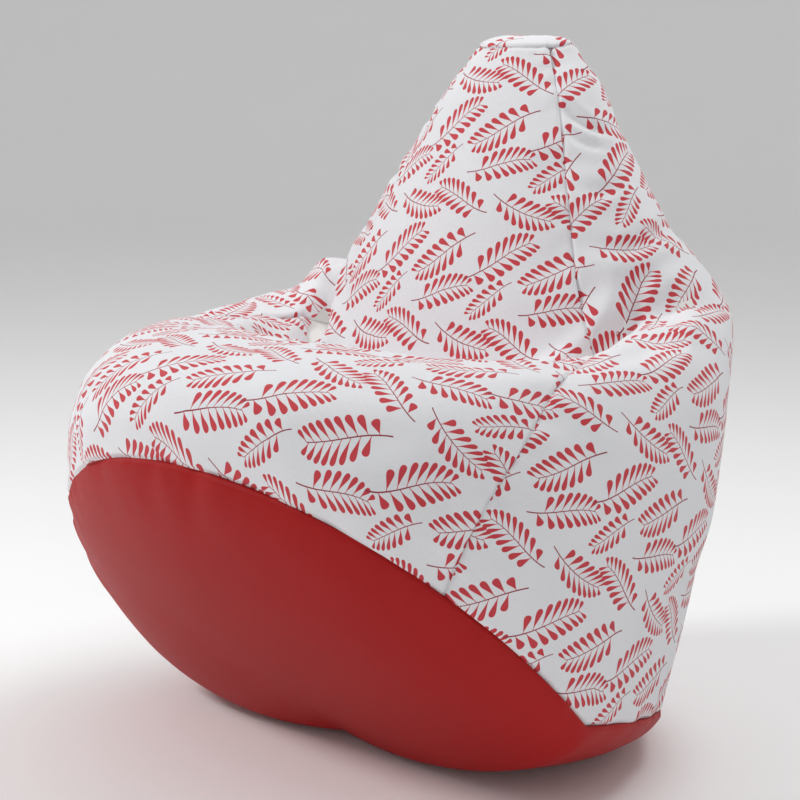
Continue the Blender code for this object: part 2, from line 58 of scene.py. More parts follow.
# One turn around the bag each: its front, side and back as (y, z), its half width, the angles of the
# front and back seams, and how far the shoulder is pushed out.
STATIONS = (
    ("rim", (-0.4619, 0.468), (-0.1429, 0.132), on_back(0.020), 0.450, 54, 134, 0.000),
    ("low", (-0.4679, 0.538), (-0.0859, 0.272), on_back(0.120), 0.456, 57, 134, 0.000),
    ("belly", (-0.4119, 0.590), (-0.0129, 0.440), on_back(0.280), 0.461, 60, 134, 0.004),
    ("seat", (-0.2979, 0.600), (0.0721, 0.560), on_back(0.440), 0.432, 60, 134, 0.014),
    ("shelf", (-0.1229, 0.564), (0.1721, 0.608), on_back(0.560), 0.378, 58, 133, 0.026),
    ("crease", (-0.0029, 0.530), (0.2291, 0.642), on_back(0.650), 0.315, 56, 132, 0.018),
    ("neck_foot", (0.0491, 0.630), (0.2271, 0.722), (0.4291, 0.740), 0.260, 55, 130, 0.002),
    ("neck_middle", (0.1091, 0.790), (0.2451, 0.828), (0.3851, 0.830), 0.196, 55, 130, 0.000),
    ("neck_upper", (0.1691, 0.918), (0.2641, 0.933), (0.3481, 0.930), 0.134, 55, 130, 0.000),
    ("top", (0.2121, 0.989), (0.2751, 0.994), (0.3261, 0.978), 0.086, 55, 130, 0.000),
)
SHOULDER_AT = math.radians(128)
SHOULDER_REACH = math.radians(50)
BASE_BULGE = np.array((0.0, -0.040, -0.185))
BASE_ROUND = (1.15, 1.30)
FLOOR_BLEND = 0.010
CAP_BULGE = np.array((0.0, 0.0, 0.016))

# Layers, inwards from the face of the cover.
COVER_CLOTH = 0.8 * MM
LINER_CLOTH = 0.6 * MM
LINER_DEPTH = 4.0 * MM
LINER_GIVE = 3.2 * MM
FILL_DEPTH = 8.0 * MM
FILL_GIVE = 4.6 * MM

# The zips, as in the CAD model.
ZIP_FOOT = 0.075
COVER_ZIP_LENGTH = 0.390
CHAIN_MIDDLE = 1.4 * MM
STOP_LENGTH = 3.5 * MM
ZIP_RECESS = 9.0 * MM
RECESS_REACH = 0.070
OPEN_HALF = 6.7 * MM
SEAM_GAP = 0.5 * MM
SLOT_CLOSING = 12 * MM

# The fine grid.
COVER_GRID = {"rows": 170, "front": 116, "side": 76, "back": 44, "base": 70, "cap": 8}
LINER_GRID = {"rows": 56, "front": 36, "side": 24, "back": 14, "base": 24, "cap": 4}
TIGHT = 0.80

# Cloth relief: how deep the seams lie, and the puckers beside them.
SEAM_SINK = 3.4 * MM
SEAM_WIDTH = 3.6 * MM
SEAM_DRAW = 3.5 * MM
SEAM_DRAW_REACH = 38 * MM
# Each kind of pucker: its height, its wave along the seam and its reach away from it.
FINE_UPRIGHT = (2.4 * MM, 14 * MM, 26 * MM)
BROAD_UPRIGHT = (4.0 * MM, 34 * MM, 64 * MM)
FINE_RIM = (1.5 * MM, 14 * MM, 22 * MM)
BROAD_RIM = (2.6 * MM, 40 * MM, 60 * MM)
FINE_BASE = (2.0 * MM, 15 * MM, 38 * MM)
BROAD_BASE = (3.4 * MM, 42 * MM, 110 * MM)
FINE_NECK_END = (0.9 * MM, 10 * MM, 22 * MM)
FINE_CAP = (0.6 * MM, 10 * MM, 16 * MM)


# Curves and the surface of the bag ----------------------------------------------------------------------


def spline(knots, values, at):
    """A smooth curve through the values."""
    knots, values, at = np.asarray(knots), np.asarray(values, float), np.asarray(at)
    slopes = np.empty_like(values)
    slopes[1:-1] = (values[2:] - values[:-2]) / trailing(knots[2:] - knots[:-2], values)
    slopes[0] = (values[1] - values[0]) / (knots[1] - knots[0])
    slopes[-1] = (values[-1] - values[-2]) / (knots[-1] - knots[-2])
    cell = np.clip(np.searchsorted(knots, at, side="right") - 1, 0, len(knots) - 2)
    span = knots[cell + 1] - knots[cell]
    share = trailing((at - knots[cell]) / span, values)
    span = trailing(span, values)
    before, after = 2 * share**3 - 3 * share**2 + 1, 3 * share**2 - 2 * share**3
    leave, arrive = share**3 - 2 * share**2 + share, share**3 - share**2
    return (
        before * values[cell]
        + after * values[cell + 1]
        + leave * span * slopes[cell]
        + arrive * span * slopes[cell + 1]
    )


def trailing(factors, values):
    return factors.reshape(factors.shape + (1,) * (values.ndim - 1))


def station_middle_line():
    """The distance from the rim to each station, as a share of the whole way up."""
    middles = np.array([(np.array(s[1]) + s[2] + s[3]) / 3 for s in STATIONS])
    steps = np.linalg.norm(np.diff(middles, axis=0), axis=1)
    distance = np.concatenate(([0.0], np.cumsum(steps)))
    return distance / distance[-1]


class Sections:
    """The turns around the bag at the given heights, each a share of the way from the rim to the top."""

    def __init__(self, heights):
        knots = station_middle_line()
        columns = [spline(knots, [s[i] for s in STATIONS], heights) for i in range(1, 8)]
        self.front, self.side, self.back, self.half_width = columns[:4]
        self.front_seam, self.back_seam = np.radians(columns[4]), np.radians(columns[5])
        self.shoulder = columns[6]

    def points(self, angles):
        """Points at these angles, one row of angles a height: 0 is the front, half a turn the back."""
        forward = np.cos(angles)[..., None]
        ahead = (self.front - self.side)[:, None]
        behind = (self.side - self.back)[:, None]
        yz = self.side[:, None] + np.where(forward > 0, ahead, behind) * forward
        x = self.half_width[:, None] * np.sin(angles)
        near = np.clip(np.abs(np.abs(angles) - SHOULDER_AT) / SHOULDER_REACH, 0, 1)
        push = self.shoulder[:, None] * np.cos(near * math.pi / 2) ** 2
        x = x + push * np.sign(angles)
        yz = yz + push[..., None] * np.array((0.0, 0.6))
        return np.concatenate([x[..., None], yz], axis=-1)


def settle(points):
    """The points with whatever hangs below the floor pressed flat on it."""
    z = points[..., 2]
    rounded = (z + FLOOR_BLEND) ** 2 / (4 * FLOOR_BLEND)
    pressed = np.where(z <= -FLOOR_BLEND, 0.0, np.where(z < FLOOR_BLEND, rounded, z))
    return np.concatenate([points[..., :2], pressed[..., None]], axis=-1)


def eased(cells, tight=TIGHT):
    """Shares from 0 to 1, closer together towards both ends."""
    even = np.linspace(0, 1, cells + 1)
    return even - tight * np.sin(2 * math.pi * even) / (2 * math.pi)


def zip_frame():
    """The foot of the zips on the back line, the way up along it, and the way out of the bag."""
    foot = np.array((0.0, *on_back(ZIP_FOOT)))
    up = np.array((0.0, BACK_LEAN, 1.0))
    up /= np.linalg.norm(up)
    return foot, up, np.array((0.0, up[2], -up[1]))


def slot_half_width(along):
    """Half the gap between the cover's back panels: open beside the zip, a plain seam elsewhere."""
    reach = STOP_LENGTH + 4 * MM
    low, high = -reach, COVER_ZIP_LENGTH + reach
    ends = (low - SLOT_CLOSING, low, high, high + SLOT_CLOSING)
    return np.interp(along, ends, (SEAM_GAP / 2, OPEN_HALF, OPEN_HALF, SEAM_GAP / 2))


class Skin:
    """The bag's surface as a fine grid: its body from rim to top, its base and its cap."""

    def __init__(self, grid):
        self.heights = eased(grid["rows"])
        sections = Sections(self.heights)
        foot, up, _ = zip_frame()
        middle_back = sections.points(np.full((len(self.heights), 1), math.pi))[:, 0]
        self.zip_along = (middle_back - foot) @ up
        self.columns = {}
        self.angles = self.whole_turn(sections, grid)
        self.body = settle(sections.points(self.angles))
        self.base = settle(closing(self.body[0], BASE_BULGE, grid["base"], BASE_ROUND))
        self.cap = closing(self.body[-1], CAP_BULGE, grid["cap"])
        self.find_normals()
        self.measure()

    def whole_turn(self, sections, grid):
        """The angles of every column, from the back round by the left, the front and the right."""
        front, back = sections.front_seam[:, None], sections.back_seam[:, None]
        edge = math.pi - np.arcsin(slot_half_width(self.zip_along) / sections.half_width)[:, None]
        spans = (
            ("left_back_panel", -edge, -back, grid["back"]),
            ("left_side_panel", -back, -front, grid["side"]),
            ("front_panel", -front, front, grid["front"]),
            ("right_side_panel", front, back, grid["side"]),
            ("right_back_panel", back, edge, grid["back"]),
        )
        parts, first = [], 0
        for name, start, end, cells in spans:
            self.columns[name] = (first, first + cells)
            parts.append(start + (end - start) * eased(cells)[:-1])
            first += cells
        return np.concatenate([*parts, edge], axis=1)

    def find_normals(self):
        """Area-weighted ways out, shared by all the faces that meet at a point."""
        grid = np.concatenate([self.base[::-1], self.body, self.cap])
        after = np.roll(grid, -1, axis=1)
        out = np.cross(after[1:] - grid[:-1], grid[1:] - after[:-1])
        out += np.roll(out, 1, axis=1)
        total = np.zeros_like(grid)
        total[:-1] += out
        total[1:] += out
        total[[0, -1]] = total[[0, -1]].sum(axis=1, keepdims=True)
        total[:, (0, -1), 0] = 0.0
        total /= np.linalg.norm(total, axis=2, keepdims=True)
        bases, bodies = len(self.base), len(self.body)
        self.base_out = total[:bases][::-1]
        self.body_out = total[bases : bases + bodies]
        self.cap_out = total[bases + bodies :]

    def measure(self):
        """Distances over the surface: around from the front middle, up from the rim, and in from the rim
        and from the top."""
        around = run_lengths(self.body, axis=1)
        middle = sum(self.columns["front_panel"]) // 2
        self.around = around - around[:, middle : middle + 1]
        self.up = run_lengths(self.body, axis=0)
        self.base_in = run_lengths(np.concatenate([self.body[:1], self.base]), axis=0)[1:]
        self.cap_in = run_lengths(np.concatenate([self.body[-1:], self.cap]), axis=0)[1:]


def closing(ring, bulge, rows, powers=(1.0, 1.0)):
    """The rows from a ring to the middle of the disc that closes it, without the ring itself.

    Powers of one make an ellipse; larger ones flatten the disc towards its edge."""
    middle = ring.mean(axis=0)
    turns = np.linspace(0, math.pi / 2, rows + 1)[1:-1]
    steps = zip(np.cos(turns) ** powers[0], np.sin(turns) ** powers[1])
    turned = [middle + (ring - middle) * inwards + bulge * down for inwards, down in steps]
    tip = np.repeat((middle + bulge)[None], len(ring), axis=0)
    return np.array([*turned, tip])


def run_lengths(grid, axis):
    """The running distance along an axis of a grid of points, from nothing at its start."""
    steps = np.linalg.norm(np.diff(grid, axis=axis), axis=2)
    lengths = np.cumsum(steps, axis=axis)
    start = np.zeros_like(lengths.take([0], axis=axis))
    return np.concatenate([start, lengths], axis=axis)


# Cloth relief -------------------------------------------------------------------------------------------


def noise(x, y, seed):
    """Smooth noise between -1 and 1, with features about one unit across."""
    table = np.random.default_rng(seed).uniform(-1, 1, (64, 64))
    left, low = np.floor(x), np.floor(y)
    right_share, high_share = smooth(x - left), smooth(y - low)
    i, j = left.astype(int) % 64, low.astype(int) % 64
    after, above = (i + 1) % 64, (j + 1) % 64
    bottom = table[i, j] + (table[after, j] - table[i, j]) * right_share
    top = table[i, above] + (table[after, above] - table[i, above]) * right_share
    return bottom + (top - bottom) * high_share


def smooth(share):
    return share * share * share * (share * (share * 6 - 15) + 10)


def space_noise(points, size, seed):
    """Smooth noise in space, with features about this size."""
    x, y, z = np.moveaxis(points / size, -1, 0)
    total = noise(x + 0.31 * z, y, seed) + noise(y, z + 0.27 * x, seed + 1) + noise(z, x, seed + 2)
    return total / 2


def pucker(kind, distance, along, seed):
    """Ridges that run away from a seam and fade, different on its two sides."""
    height, wave, reach = kind
    side = np.where(distance < 0, 17.0, 0.0)
    distance = np.abs(distance)
    ridges = noise(along / wave + 0.15 * distance / wave, distance / (5 * wave) + side, seed)
    strength = 0.65 + 0.5 * noise(along / (6 * wave), side, seed + 7)
    return height * (ridges * strength * np.exp(-((distance / reach) ** 2)))


def seam_line(distance):
    """The sink of a seam: a narrow fold at the stitches, in a broad shallow draw."""
    narrow = SEAM_SINK * np.exp(-((distance / SEAM_WIDTH) ** 2))
    broad = SEAM_DRAW * np.exp(-((distance / SEAM_DRAW_REACH) ** 2))
    return -narrow, -broad


# Creases and the ridges beside them: places as (height share, degrees from the front), width and depth.
FOLDS = (
    (((0.66, -78), (0.60, -66), (0.585, -50), (0.545, -33)), 16 * MM, 24 * MM),
    (((0.66, 78), (0.60, 66), (0.57, 52), (0.535, 36)), 16 * MM, 20 * MM),
    (((0.56, -50), (0.50, -28), (0.485, 0), (0.49, 28), (0.53, 56)), 26 * MM, 30 * MM),
    (((0.41, -46), (0.42, -20), (0.42, 10), (0.39, 44)), 60 * MM, -8 * MM),
    (((0.585, -72), (0.565, -84), (0.53, -100)), 30 * MM, -22 * MM),
    (((0.48, 58), (0.545, 72), (0.52, 86), (0.505, 104)), 20 * MM, -9 * MM),
    (((0.60, 70), (0.585, 88), (0.56, 110)), 20 * MM, 11 * MM),
    (((0.640, -76), (0.62, -88), (0.58, -108)), 18 * MM, 12 * MM),
    (((0.43, -63), (0.455, -57), (0.475, -45)), 12 * MM, -8 * MM),
    (((0.44, -52), (0.465, -50), (0.49, -40)), 12 * MM, 7 * MM),
    (((0.47, -76), (0.42, -84), (0.38, -90)), 12 * MM, 5 * MM),
    (((0.72, 64), (0.69, 81), (0.685, 100), (0.69, 116)), 12 * MM, 8 * MM),
    (((0.655, 70), (0.64, 88), (0.65, 104)), 11 * MM, 5 * MM),
    (((0.925, 56), (0.896, 67), (0.870, 80), (0.86, 96)), 9 * MM, 7 * MM),
    (((0.885, 58), (0.855, 72), (0.84, 88)), 8 * MM, 5 * MM),
    (((0.80, 60), (0.785, 74), (0.79, 92)), 10 * MM, 4 * MM),
    (((0.70, -64), (0.69, -86), (0.70, -108)), 12 * MM, 7 * MM),
    (((0.80, -60), (0.79, -84), (0.80, -110)), 10 * MM, 6 * MM),
    (((0.90, -58), (0.88, -84), (0.89, -108)), 9 * MM, 5 * MM),
    (((0.61, -26), (0.58, -10), (0.585, 6)), 11 * MM, 5 * MM),
    (((0.56, 8), (0.545, 22), (0.55, 38)), 10 * MM, 5 * MM),
    (((0.545, -30), (0.535, -16), (0.54, -2)), 9 * MM, 4 * MM),
    (((0.30, 62), (0.25, 74), (0.23, 88)), 26 * MM, 4 * MM),
    (((0.16, 64), (0.12, 80), (0.10, 98)), 24 * MM, 4 * MM),
    (((0.30, -62), (0.25, -74), (0.23, -88)), 26 * MM, 4 * MM),
    (((0.10, 20), (0.16, 34), (0.24, 46)), 26 * MM, 3 * MM),
    (((0.62, 142), (0.60, 160), (0.61, 176)), 14 * MM, 6 * MM),
    (((0.62, -142), (0.605, -158), (0.61, -176)), 14 * MM, 6 * MM),
)


def polyline_distance(points, line):
    """The distance of each point from a line through a few places, and its share of the way along it."""
    steps = np.linalg.norm(np.diff(line, axis=0), axis=1)
    starts = np.concatenate([[0.0], np.cumsum(steps)])
    best = np.full(points.shape[:-1], 1e9)
    share = np.zeros(points.shape[:-1])
    for start, end, begun, length in zip(line[:-1], line[1:], starts, steps):
        way = (end - start) / length
        along = np.clip((points - start) @ way, 0, length)
        distance = np.linalg.norm(points - (start + along[..., None] * way), axis=-1)
        closer = distance < best
        best = np.where(closer, distance, best)
        share = np.where(closer, (begun + along) / starts[-1], share)
    return best, share


def fold_relief(points):
    total = np.zeros(points.shape[:-1])
    for places, width, depth in FOLDS:
        knots = np.linspace(0, 1, len(places))
        fine = np.linspace(0, 1, 24)
        heights, degrees = spline(knots, places, fine).T
        line = Sections(heights).points(np.radians(degrees)[:, None])[:, 0]
        distance, share = polyline_distance(points, line)
        fade = np.sin(np.clip(share, 0.02, 0.98) * math.pi) ** 0.7
        across = distance / width
        beside = np.exp(-((across - 1.9) ** 2))
        total += depth * fade * (0.4 * beside - np.exp(-(across**2)))
    return total


class Relief:
    """How far each point of the cover stands out of the plain surface: broad parts that the layers
    underneath share, and fine parts that are the cover's own."""

    def __init__(self, skin):
        self.skin = skin
        body, base = skin.body, skin.base
        self.broad_body = self.slack(body) + fold_relief(body) * self.off_the_zip(30 * MM)
        self.broad_base = 2.5 * MM * space_noise(base, 0.17, 31)
        self.fine_body = 0.9 * MM * space_noise(body, 0.035, 41)
        self.fine_base = 0.3 * MM * space_noise(base, 0.045, 43)
        self.add_upright_seams()
        self.add_rim_seam()
        self.add_cap()
        self.keep_clear_of_zip()

    def slack(self, points):
        return 4.5 * MM * space_noise(points, 0.16, 11) + 1.8 * MM * space_noise(points, 0.065, 21)

    def off_the_zip(self, reach):
        """Nothing beside the zip, rising to one this far from it."""
        skin = self.skin
        aside = np.abs(skin.body[..., 0]) - 0.020
        past = np.maximum(-skin.zip_along - 0.030, skin.zip_along - COVER_ZIP_LENGTH - 0.030)
        behind = np.abs(skin.angles) > math.pi / 2
        clear = np.maximum(aside, past[:, None])
        share = np.where(behind, np.clip(clear / reach, 0, 1), 1.0)
        return smooth(share)

    def add_upright_seams(self):
        skin = self.skin
        last = skin.columns["right_back_panel"][1]
        seams = [skin.columns[name][0] for name in skin.columns] + [last]
        for number, column in enumerate(seams):
            distance = skin.around - skin.around[:, column : column + 1]
            along = skin.up[:, column : column + 1]
            seed = 50 + min(number, len(seams) - 1 - number) + (0 if number < 3 else 20)
            if number in (0, len(seams) - 1):
                distance, seed = np.abs(distance), 49
            narrow, broad = seam_line(distance)
            self.fine_body += narrow
            self.fine_body += pucker(FINE_UPRIGHT, distance, along, seed)
            self.broad_body += broad
            self.broad_body += pucker(BROAD_UPRIGHT, distance, along, seed + 9)

    def add_rim_seam(self):
        skin = self.skin
        along = skin.around[:1]
        narrow, broad = seam_line(skin.up)
        self.fine_body += narrow + pucker(FINE_RIM, skin.up, along, 71)
        self.broad_body += broad + pucker(BROAD_RIM, skin.up, along, 73)
        narrow, broad = seam_line(skin.base_in)
        self.fine_base += narrow + pucker(FINE_BASE, skin.base_in, along, 75)
        self.broad_base += broad + pucker(BROAD_BASE, skin.base_in, along, 77)

    def add_cap(self):
        skin = self.skin
        down = skin.up[-1:] - skin.up
        along = skin.around[-1:]
        narrow, _ = seam_line(down)
        self.fine_body += 0.6 * narrow + pucker(FINE_NECK_END, down, along, 81)
        narrow, _ = seam_line(skin.cap_in)
        self.fine_cap = 0.6 * narrow + pucker(FINE_CAP, skin.cap_in, along, 83)
        self.broad_cap = self.slack(skin.cap)
        near = np.exp(-((skin.cap_in / (20 * MM)) ** 2))
        self.broad_cap = self.broad_cap * (1 - near) + self.broad_body[-1:] * near

    def keep_clear_of_zip(self):
        free = self.off_the_zip(25 * MM)
        self.broad_body *= free
        self.fine_body *= free
        self.broad_base *= smooth(np.clip(self.skin.base_in / (20 * MM), 0, 1)) * (1 - free[:1]) + free[:1]


def layer_faces(skin, relief, depth, give, zip_depth, fine):
    """The body, base and cap at a depth under the relief, with more room left away from the zips and behind
    them. Only the cover has the fine part of the relief."""
    layers = []
    for name in ("body", "base", "cap"):
        points, outs = getattr(skin, name), getattr(skin, name + "_out")
        stand = getattr(relief, "broad_" + name) + fine * getattr(relief, "fine_" + name)
        behind = behind_zip(points, outs)
        inwards = depth + give * (1 - behind) + zip_depth * behind - stand
        moved = points - outs * inwards[..., None]
        moved[..., 2] = np.maximum(moved[..., 2], depth + give)
        layers.append(moved)
    return layers


def behind_zip(points, outs):
    """One behind the middle of the zips, falling to nothing round them."""
    foot, up, _ = zip_frame()
    along = (points - foot) @ up
    side = np.clip(np.abs(points[..., 0]) / RECESS_REACH, 0, 1)
    past = np.clip(np.maximum(-along, along - COVER_ZIP_LENGTH) / RECESS_REACH, 0, 1)
    return np.cos(side * math.pi / 2) ** 2 * np.cos(past * math.pi / 2) ** 2 * (outs[..., 1] > 0.5)


# Where each panel's cloth was cut ------------------------------------------------------------------------


def flattened(points, row_shares, column_shares):
    """The panel laid flat with as little stretch as will do: its places on the uncut cloth, in metres."""
    rows = np.unique(np.linspace(0, len(points) - 1, 30).astype(int))
    columns = np.unique(np.linspace(0, points.shape[1] - 1, 16).astype(int))
    coarse = points[rows][:, columns]
    middle = len(columns) // 2
    across = run_lengths(coarse, axis=1)
    across -= across[:, middle : middle + 1]
    upwards = run_lengths(coarse, axis=0)[:, middle : middle + 1]
    flat = np.stack([across, np.broadcast_to(upwards, across.shape)], axis=-1)
    flat = relaxed(flat, coarse)
    by_row = np.stack([
        np.stack([np.interp(row_shares, row_shares[rows], flat[:, c, k]) for k in range(2)], axis=-1)
        for c in range(len(columns))
    ], axis=1)
    return np.stack([
        np.stack([np.interp(column_shares, column_shares[columns], line[:, k]) for k in range(2)], axis=-1)
        for line in by_row
    ])


def relaxed(flat, points, rounds=900):
    """Moves the flat places until their distances match those over the surface as well as they can."""
    everything = slice(None)
    pairs = (
        ((everything, slice(0, -1)), (everything, slice(1, None))),
        ((slice(0, -1), everything), (slice(1, None), everything)),
        ((slice(0, -1), slice(0, -1)), (slice(1, None), slice(1, None))),
        ((slice(0, -1), slice(1, None)), (slice(1, None), slice(0, -1))),
    )
    rests = [np.linalg.norm(points[b] - points[a], axis=-1) for a, b in pairs]
    for _ in range(rounds):
        move = np.zeros_like(flat)
        for (a, b), rest in zip(pairs, rests):
            way = flat[b] - flat[a]
            length = np.linalg.norm(way, axis=-1)
            pull = way * ((length - rest) / length / 2)[..., None]
            move[a] += pull
            move[b] -= pull
        flat = flat + move / 3
    return flat


# Meshes -------------------------------------------------------------------------------------------------


def new_object(name, points, faces, material):
    mesh = bpy.data.meshes.new(name)
    mesh.from_pydata(points.tolist(), [], faces.tolist() if hasattr(faces, "tolist") else faces)
    mesh.materials.append(material)
    mesh.shade_smooth()
    return in_scene(name, mesh)


def in_scene(name, data):
    made = bpy.data.objects.new(name, data)
    bpy.context.scene.collection.objects.link(made)
    return made


def write_cut(made, places):
    """Stores where each point lies on the uncut cloth, which the print and the weave follow."""
    stored = made.data.attributes.new("cut", "FLOAT_VECTOR", "POINT")
    flat = np.zeros((len(places), 3))
    flat[:, :2] = places
    stored.data.foreach_set("vector", flat.ravel())


def grid_quads(rows, columns):
    """Faces of a grid of this many points, facing out of the bag."""
    first = (np.arange(rows - 1)[:, None] * columns + np.arange(columns - 1)).ravel()
    return np.stack([first, first + 1, first + columns + 1, first + columns], axis=1)


def ring_quads(rings, columns):
    """Faces between closed rings of this many points, ring after ring."""
    first = np.arange(columns)
    after = (first + 1) % columns
    faces = []
    for row in range(rings - 1):
        low, high = row * columns, (row + 1) * columns
        faces += np.stack([low + first, low + after, high + after, high + first], axis=1).tolist()
    return faces


def thicken(made, thickness):
    solid = made.modifiers.new("cloth", "SOLIDIFY")
    solid.thickness = thickness
    solid.offset = -1
    solid.use_even_offset = False


def cut_size(places, area):
    """The width and length of the smallest upright rectangle of cloth that the panel is cut from."""
    width, length = np.ptp(places.reshape(-1, 2), axis=0)
    return (float(width), float(length)), float(min(area, width * length))


def grid_area(points):
    after, above, beyond = points[:-1, 1:], points[1:, :-1], points[1:, 1:]
    here = points[:-1, :-1]
    return float(np.linalg.norm(np.cross(beyond - here, above - after), axis=2).sum() / 2)


def gore(name, node, points, skin, material, thickness):
    """One upright panel of cloth between two seams, printed by where it was cut."""
    rows, columns = points.shape[:2]
    first, last = skin.columns[name]
    plain = skin.body[:, first : last + 1]
    places = flattened(plain, skin.heights, eased(last - first))
    made = new_object(node + "_cloth", points.reshape(-1, 3), grid_quads(rows, columns), material)
    write_cut(made, places.reshape(-1, 2) + np.array(CUT_FROM[name]))
    thicken(made, thickness)
    flat, area = cut_size(places, grid_area(plain))
    return made, flat, area


# Each gore is cut from another part of the printed cloth.
CUT_FROM = {
    "front_panel": (0.00, 0.02),
    "left_side_panel": (0.74, 0.11),
    "right_side_panel": (0.33, 0.05),
    "left_back_panel": (1.21, 0.16),
    "right_back_panel": (1.52, 0.03),
}


def disc(node, ring, rows, material, thickness, downwards):
    """A round panel from its ring to its middle."""
    columns = len(ring)
    points = np.concatenate([ring, rows[:-1].reshape(-1, 3), rows[-1][:1]])
    first = np.arange(columns)
    after = (first + 1) % columns
    rings = len(rows)
    faces = ring_quads(rings, columns)
    last, tip = (rings - 1) * columns, rings * columns
    faces += np.stack([last + first, last + after, np.full(columns, tip)], axis=1).tolist()
    if downwards:
        faces = [face[::-1] for face in faces]
    made = new_object(node + "_cloth", points, faces, material)
    centre = points[-1]
    steps = np.linalg.norm(np.diff(np.concatenate([ring[None], rows]), axis=0), axis=2)
    reach = np.concatenate([np.cumsum(steps[::-1], axis=0)[::-1], np.zeros((1, columns))])
    angle = np.arctan2(ring[:, 1] - centre[1], ring[:, 0] - centre[0])
    places = reach[..., None] * np.stack([np.cos(angle), np.sin(angle)], axis=-1)
    write_cut(made, np.concatenate([places[:-1].reshape(-1, 2), places[-1][:1]]))
    thicken(made, thickness)
    area = grid_area(np.concatenate([ring[None], rows])) * (columns / (columns - 1))
    flat, area = cut_size(places, area)
    return made, flat, area


def sheath(prefix, skin, faces, looks, thickness):
    """The panels of one bag, each standing for its own CAD node."""
    body, base, cap = faces
    made = {}
    for name, (first, last) in skin.columns.items():
        made[name] = gore(name, prefix + name, body[:, first : last + 1], skin, looks[0], thickness)
    made["base_panel"] = disc(prefix + "base_panel", body[0], base, looks[1], thickness, True)
    made["top_cap"] = disc(prefix + "top_cap", body[-1], cap, looks[0], thickness, False)
    for name, (cloth, flat, area) in made.items():
        place_piece(cloth, prefix + name)
    return made


def place_piece(made, node, body=BAG):
    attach(made, body)
    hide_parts(node)


def filling(faces, material):
    """The beads as one closed body."""
    body, base, cap = faces
    columns = body.shape[1]
    rings = np.concatenate([base[-2::-1], body, cap[:-1]])
    points = np.concatenate([rings.reshape(-1, 3), base[-1][:1], cap[-1][:1]])
    first = np.arange(columns)
    after = (first + 1) % columns
    quads = ring_quads(len(rings), columns)
    bottom, top = rings.shape[0] * columns, rings.shape[0] * columns + 1
    last = (len(rings) - 1) * columns
    quads += np.stack([after, first, np.full(columns, bottom)], axis=1).tolist()
    quads += np.stack([last + first, last + after, np.full(columns, top)], axis=1).tolist()
    made = new_object("bead_fill_beads", points, quads, material)
    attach(made, BAG)
    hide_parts("bead_fill")


# Zips ---------------------------------------------------------------------------------------------------

COIL_PITCH = 1.8 * MM
COIL_WIRE = 0.36 * MM
COIL_MIDDLE = 1.9 * MM
COIL_REACH = 2.2 * MM
COIL_RISE = 0.85 * MM
COIL_STEPS = 12
BACK_LINE_END = 0.8
BACK_LINE_STEPS = 400
STITCH_LENGTH = 3.0 * MM
STITCH_GAP = 0.9 * MM
STITCH_THREAD = 0.28 * MM
STITCH_ASIDE = (9.2 * MM, 14.0 * MM)
STITCH_PAST = 6 * MM
STITCH_LIFTS = (-0.25 * MM, 0.12 * MM, 0.12 * MM, -0.25 * MM)


def zip_point(across, depth, along):
    foot, up, out = zip_frame()
    side = np.array((1.0, 0.0, 0.0))
    return foot + side * across - out * depth + up * along


def round_wire(name, radius, material):
    """An empty curve that is drawn as a round wire."""
    curve = bpy.data.curves.new(name, "CURVE")
    curve.dimensions = "3D"
    curve.bevel_depth = radius
    curve.bevel_resolution = 1
    curve.use_fill_caps = True
    curve.materials.append(material)
    return curve


def zip_coil(side, sign, material):
    """Half of the cover zip's chain: a nylon coil whose turns lie between those of the other half."""
    turns = int(COVER_ZIP_LENGTH / COIL_PITCH) - 1
    curve = round_wire(f"zip_coil_{side}", COIL_WIRE, material)
    path = curve.splines.new("POLY")
    count = turns * COIL_STEPS + 1
    path.points.add(count - 1)
    start = COIL_PITCH * (0.5 if sign < 0 else 1.0)
    for number in range(count):
        turn = 2 * math.pi * number / COIL_STEPS
        across = sign * (COIL_MIDDLE - COIL_REACH * math.cos(turn))
        depth = CHAIN_MIDDLE + COIL_RISE * math.sin(turn)
        place = zip_point(across, depth, start + COIL_PITCH * number / COIL_STEPS)
        path.points[number].co = (*place, 1.0)
    made = in_scene(f"zip_coil_{side}", curve)
    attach(made, BAG)
    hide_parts(f"zip_chain_{side}")


def back_places(along, across):
    """Places on the cover's back, this far up the zip line and this far to the side."""
    fine = np.linspace(0, BACK_LINE_END, BACK_LINE_STEPS)
    foot, up, _ = zip_frame()
    line = (Sections(fine).points(np.full((BACK_LINE_STEPS, 1), math.pi))[:, 0] - foot) @ up
    heights = np.interp(along, line, fine)
    sections = Sections(heights)
    angles = np.sign(across) * (math.pi - np.arcsin(abs(across) / sections.half_width))
    return sections.points(angles[:, None])[:, 0]


def zip_stitching(material):
    """Two rows of topstitching on each side of the zip."""
    step = STITCH_LENGTH + STITCH_GAP
    _, _, out = zip_frame()
    starts = np.arange(-STITCH_PAST, COVER_ZIP_LENGTH + STITCH_PAST, step)
    curve = round_wire("zip_stitching", STITCH_THREAD, material)
    for aside in STITCH_ASIDE:
        for sign in (-1, 1):
            rows = [back_places(starts + STITCH_LENGTH * share, sign * aside) for share in (0, 0.25, 0.75, 1)]
            for places in np.stack(rows, axis=1):
                dash = curve.splines.new("POLY")
                dash.points.add(3)
                for point, place, lift in zip(dash.points, places, STITCH_LIFTS):
                    point.co = (*(place + out * lift), 1.0)
    made = in_scene("zip_stitching", curve)
    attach(made, BAG)


# Materials ----------------------------------------------------------------------------------------------


